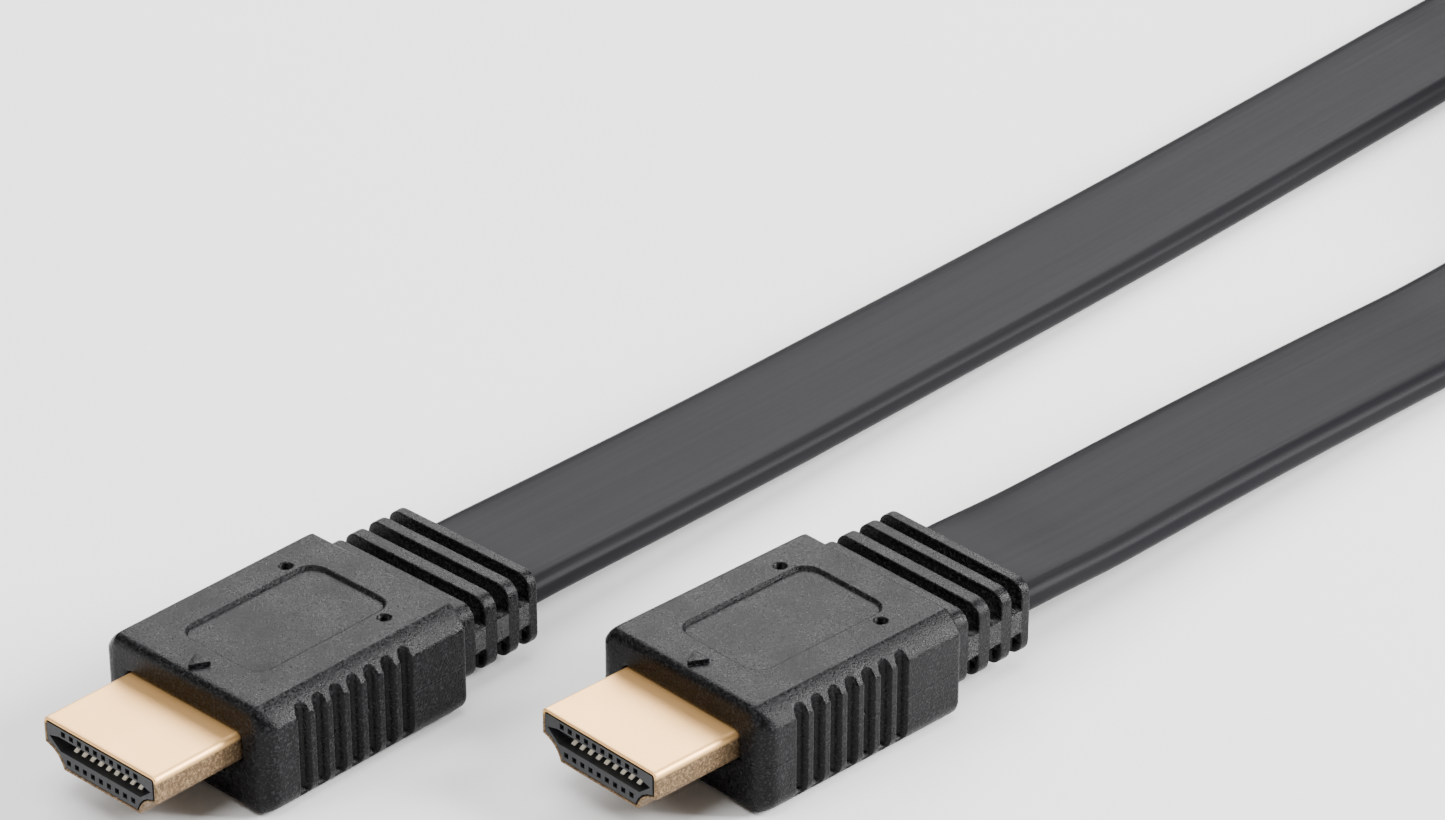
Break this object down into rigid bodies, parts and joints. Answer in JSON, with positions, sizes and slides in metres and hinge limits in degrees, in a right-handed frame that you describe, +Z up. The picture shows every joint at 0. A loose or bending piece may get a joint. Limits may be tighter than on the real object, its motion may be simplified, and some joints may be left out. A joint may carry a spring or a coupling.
{
  "type": "hdmi cable",
  "caption": "Flat audio-video cable with a gold-plated connector in a grooved, ribbed moulded plug on each end.",
  "frame": {"origin": "on the table, under the middle of the box round the two plugs", "axes": "+Y from the first plug's mouth towards its cable, +Z up from the table, +X from the first plug towards the second"},
  "size_m": [0.1192, 0.3252, 0.0147],
  "materials": {
    "moulding": "fine spark-eroded matte grain",
    "jacket": "smooth satin",
    "gold_plate": "polished gold plating",
    "insulator": "smooth"
  },
  "bodies": {
    "root": {"overmold_a": "moulding", "shell_a": "gold_plate", "contact_block_a": "insulator", "contact_a_upper_1": "gold_plate", "contact_a_upper_2": "gold_plate", "contact_a_upper_3": "gold_plate", "contact_a_upper_4": "gold_plate", "contact_a_upper_5": "gold_plate", "contact_a_upper_6": "gold_plate", "contact_a_upper_7": "gold_plate", "contact_a_upper_8": "gold_plate", "contact_a_upper_9": "gold_plate", "contact_a_upper_10": "gold_plate", "contact_a_lower_1": "gold_plate", "contact_a_lower_2": "gold_plate", "contact_a_lower_3": "gold_plate", "contact_a_lower_4": "gold_plate", "contact_a_lower_5": "gold_plate", "contact_a_lower_6": "gold_plate", "contact_a_lower_7": "gold_plate", "contact_a_lower_8": "gold_plate", "contact_a_lower_9": "gold_plate", "overmold_b": "moulding", "shell_b": "gold_plate", "contact_block_b": "insulator", "contact_b_upper_1": "gold_plate", "contact_b_upper_2": "gold_plate", "contact_b_upper_3": "gold_plate", "contact_b_upper_4": "gold_plate", "contact_b_upper_5": "gold_plate", "contact_b_upper_6": "gold_plate", "contact_b_upper_7": "gold_plate", "contact_b_upper_8": "gold_plate", "contact_b_upper_9": "gold_plate", "contact_b_upper_10": "gold_plate", "contact_b_lower_1": "gold_plate", "contact_b_lower_2": "gold_plate", "contact_b_lower_3": "gold_plate", "contact_b_lower_4": "gold_plate", "contact_b_lower_5": "gold_plate", "contact_b_lower_6": "gold_plate", "contact_b_lower_7": "gold_plate", "contact_b_lower_8": "gold_plate", "contact_b_lower_9": "gold_plate", "cable_leg_a": "jacket", "cable_leg_b": "jacket", "cable_coil": "jacket"}
  },
  "joints": []
}
